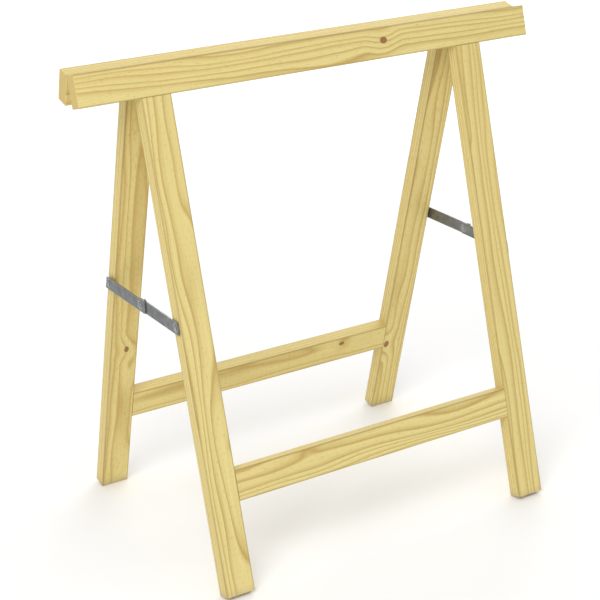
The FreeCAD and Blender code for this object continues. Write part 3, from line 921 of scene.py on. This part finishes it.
for hand_name, hand in HANDS.items():
    out = ALONG * hand
    node = hand_name + "_rivet_head"
    seat = outer_end(node, hand) - out * (ROLLED_EDGE + DOME_HIGH) * MM
    mesh = skin(hand_name + "_rivet_dome", [placed(rivet_dome(), seat, out)])
    stands_for(node, mesh.name, mesh, rivet_steel)
    node = hand_name + "_rivet_tail"
    seat = outer_end(node, hand) - out * (SET_END + LINK_THICK) * MM
    mesh = skin(hand_name + "_rivet_set_end", [placed(hammered_end(), seat, out)])
    stands_for(node, mesh.name, mesh, rivet_steel)

# %% [markdown]
# ## Washers and hinge pins
# A washer is stamped from sheet, which leaves soft corners, so its section is a rectangle
# with rounded corners, carried round the hole. A hinge pin is wire, and its ends are upset
# into small flat heads that keep it in the knuckles.

# %% Washers and spacers
WASHER_BORE = 2.55       # radii in millimetres
WASHER_RIM = 7.0
SOFT_CORNER = 0.25


def arc(centre, radius, start, end, steps):
    """Points on a circle in the (radius, height) plane between two angles in degrees."""
    angle = np.radians(np.linspace(start, end, steps))
    return np.stack([centre[0] + radius * np.cos(angle), centre[1] + radius * np.sin(angle)], 1)


def ring(bore, rim, thick):
    """A washer: a rectangle with rounded corners in the (radius, height) plane, carried round
    Z and back to its first point."""
    soft = SOFT_CORNER
    corners = [arc((rim - soft, thick - soft), soft, 90, 0, 5),
               arc((rim - soft, soft), soft, 0, -90, 5),
               arc((bore + soft, soft), soft, 270, 180, 5),
               arc((bore + soft, thick - soft), soft, 180, 90, 5)]
    profile = np.concatenate(corners)
    return turned(np.concatenate([profile, profile[:1]]), 64)


for hand_name, hand in HANDS.items():
    out = ALONG * hand
    for frame_name, kind in (("front", "washer"), ("rear", "spacer")):
        node = hand_name + "_" + frame_name + "_" + kind
        low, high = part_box(node)
        thick = (high.x - low.x) / MM
        seat = outer_end(node, hand) - out * thick * MM
        mesh = skin(hand_name + "_" + kind + "_ring",
                    [placed(ring(WASHER_BORE, WASHER_RIM, thick), seat, out)])
        stands_for(node, mesh.name, mesh, washer_steel)

# %% Hinge pins
WIRE = 1.3               # radii and heights in millimetres
UPSET = 2.1              # the head that the wire's end is upset into
UPSET_HIGH = 1.0
for hand_name in HANDS:
    node = hand_name + "_hinge_pin"
    low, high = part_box(node)
    half = (high.x - low.x) / 2 / MM
    wire = [(0, -half), (1.5, -half), (UPSET - 0.2, -half + 0.1), (UPSET, -half + 0.4),
            (UPSET, -half + 0.9), (UPSET - 0.1, -half + UPSET_HIGH), (WIRE, -half + UPSET_HIGH)]
    wire = wire + [(r, -z) for r, z in reversed(wire)]
    mesh = skin(hand_name + "_hinge_wire", [placed(turned(wire, 32), middle(node), ALONG)])
    stands_for(node, mesh.name, mesh, leaf_steel)

# %% [markdown]
# ## Fluted dowels
# A bought dowel is rolled with shallow flutes, so that glue and air can escape as it is
# driven home, and its ends are chamfered to find the hole. Its radius is the rod's radius
# less a small share that comes and goes with the angle, so one sheet gives rod and flutes.

# %% A fluted dowel
DOWEL = 4.0              # radius in millimetres
DOWEL_HALF = 20.0        # half its length
CHAMFER = 1.0
FLUTES = 20
FLUTE_SHARE = 0.06       # a flute's depth over the radius


def fluted_dowel():
    """Rod along Z: radius = profile radius * (1 - flute share * the square of a raised cosine
    of 20 turns). The chamfered ends have no flutes at their faces."""
    columns, end, face = 8 * FLUTES, DOWEL_HALF, DOWEL - CHAMFER
    profile = [(0, -end), (face / 2, -end), (face, -end), (DOWEL, -end + CHAMFER),
               (DOWEL, -end + 2 * CHAMFER), (DOWEL, 0)]
    profile = profile + [(r, -z) for r, z in reversed(profile[:-1])]
    sheet = turned(profile, columns)
    angle = np.linspace(0, 2 * np.pi, columns, endpoint=False)
    flute = FLUTE_SHARE * (0.5 + 0.5 * np.cos(FLUTES * angle)) ** 2
    deep = np.clip(np.asarray(profile)[:, :1] - face, 0, 1)
    sheet[..., :2] *= (1 - flute * deep)[..., None]
    return sheet


print("a flute is", round(DOWEL * FLUTE_SHARE, 2), "mm deep")

# %% Dowels in their joints
PAIR = 12 * MM           # a joint's two dowels lie this far either side of its middle
leg_middle = middle("front_right_leg").x
leg_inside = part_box("front_right_leg")[0].x
for frame_name, side in FRAMES.items():
    for joint in ("leg", "stretcher"):
        node = frame_name + "_" + joint + "_dowels"
        centre = middle(node)
        axis, step = (down(side), ALONG) if joint == "leg" else (ALONG, down(side))
        out = leg_middle if joint == "leg" else leg_inside
        sheets = [placed(fluted_dowel(), centre + ALONG * hand * out + step * pair * PAIR, axis)
                  for hand in (-1, 1) for pair in (-1, 1)]
        mesh = skin(frame_name + "_" + joint + "_fluted_dowels", sheets)
        stands_for(node, mesh.name, mesh, beech[joint, side])

# %% [markdown]
# ## Stay links and hinge leaves
# A link is sheared from flat strip and punched, a leaf is stamped and rolled. Each is pierced
# by holes, which one grid can't give, so the frame's own shape is copied, its doubles are
# merged, its flat faces are joined, and a Bevel breaks the sharp edges as tumbling in a
# barrel does before plating. Only edges that turn sharply are broken, and not the round ones.
# The strip is a duller, darker zinc than the screws, so it scatters more of what is near it.


# %% Broken edges
def tumbled(node, name, finish, broken):
    """A copy of a CAD node with its edges broken by a given width in millimetres."""
    mesh = nodes[node].data.copy()
    mesh.name = name
    piece = stands_for(node, name, closed(mesh, join_flat=True), finish)
    bevel = piece.modifiers.new("broken_edges", "BEVEL")
    bevel.width = broken * MM
    bevel.segments = 2
    bevel.limit_method = "ANGLE"
    bevel.angle_limit = math.radians(40)
    bevel.harden_normals = True


# %% Links and leaves
STRIP_TONE = "#8D8E8F"
STRIP_BLOOM = "#808182"
STRIP_HALF_WIDE = 10 * MM
for hand_name, hand in HANDS.items():
    rivet = outer_end(hand_name + "_rivet_head", hand)
    for frame_name in FRAMES:
        screw = outer_end(hand_name + "_" + frame_name + "_pivot_screw", hand)
        strip = zinc_plated("drawn strip steel, zinc plated, " + hand_name + " " + frame_name,
                            STRIP_TONE, STRIP_BLOOM, ALONG_Y_LINES, 0.54,
                            pivots=((screw.y, screw.z), (rivet.y, rivet.z)),
                            edge=(rivet.z, STRIP_HALF_WIDE))
        tumbled(hand_name + "_" + frame_name + "_link",
                hand_name + "_" + frame_name + "_stay_strip", strip, 0.3)
        tumbled(hand_name + "_hinge_" + frame_name + "_leaf",
                hand_name + "_" + frame_name + "_hinge_plate", leaf_steel, 0.15)
